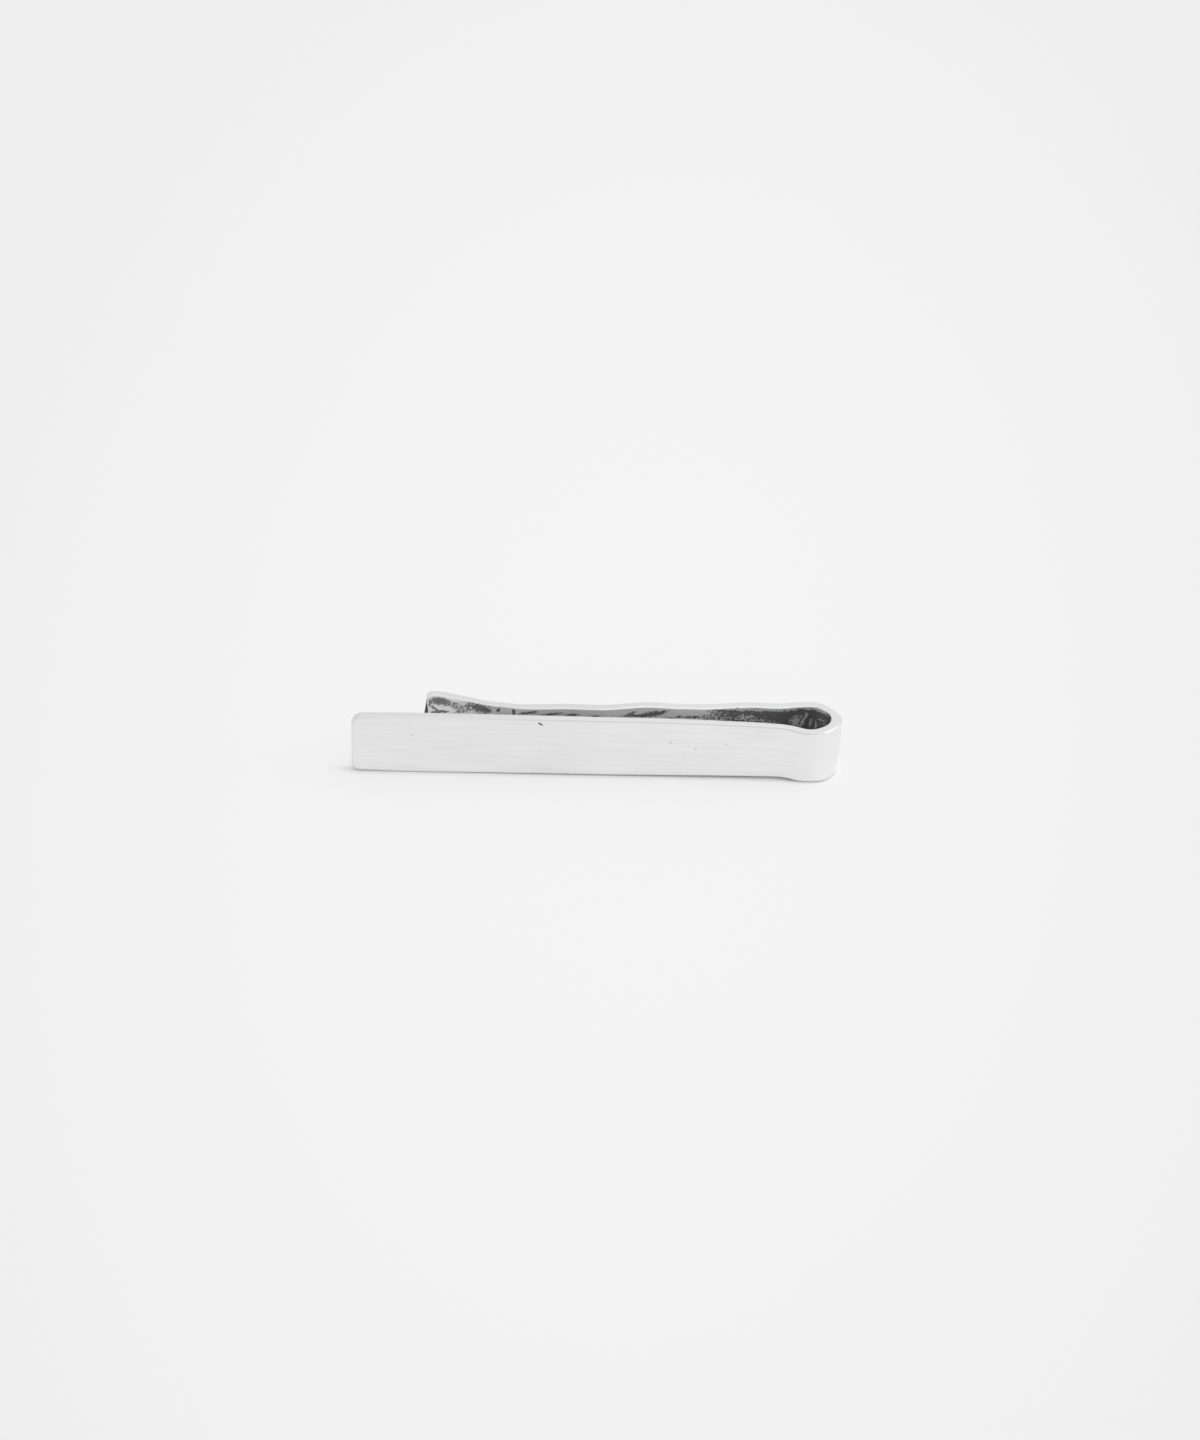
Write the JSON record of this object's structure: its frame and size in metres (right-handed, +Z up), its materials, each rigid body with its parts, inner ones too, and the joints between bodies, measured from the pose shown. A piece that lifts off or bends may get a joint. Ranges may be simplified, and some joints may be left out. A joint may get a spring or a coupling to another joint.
{
  "type": "tie clip",
  "caption": "Slim tie clip bent from one brushed silver strip: flat front bar, keyhole-shaped spring loop, and a sprung back leg that pinches the tie and flares at its tip.",
  "frame": {"origin": "halfway along the clip, level with the axis of the spring loop from front to back, on the surface that the long edges stand on", "axes": "+X along the clip towards the spring loop, +Y from the front bar to the back leg, +Z up across the width of the strip"},
  "size_m": [0.055, 0.007, 0.0073],
  "materials": {
    "brushed_silver": "satin, brushed along the strip, with darkened inside faces"
  },
  "bodies": {
    "front_bar": {"front_bar": "brushed_silver"},
    "spring_loop": {"spring_loop": "brushed_silver"},
    "back_leg": {"back_leg": "brushed_silver"}
  },
  "joints": [
    {"name": "front_flex", "type": "hinge", "parent": "front_bar", "child": "spring_loop", "pos_m": [0.0197, -0.00265, 0], "axis": [-0.0755, 0, -0.9971], "range_deg": [0, 2.5], "stiffness_Nm_per_rad": 5},
    {"name": "rear_flex", "type": "hinge", "parent": "spring_loop", "child": "back_leg", "pos_m": [0.0197, 0.00327, 0], "axis": [-0.0755, 0, -0.9971], "range_deg": [0, 2.5], "stiffness_Nm_per_rad": 5}
  ],
  "couplings": [
    {"joint": "rear_flex", "follows": "front_flex", "ratio": 1}
  ]
}
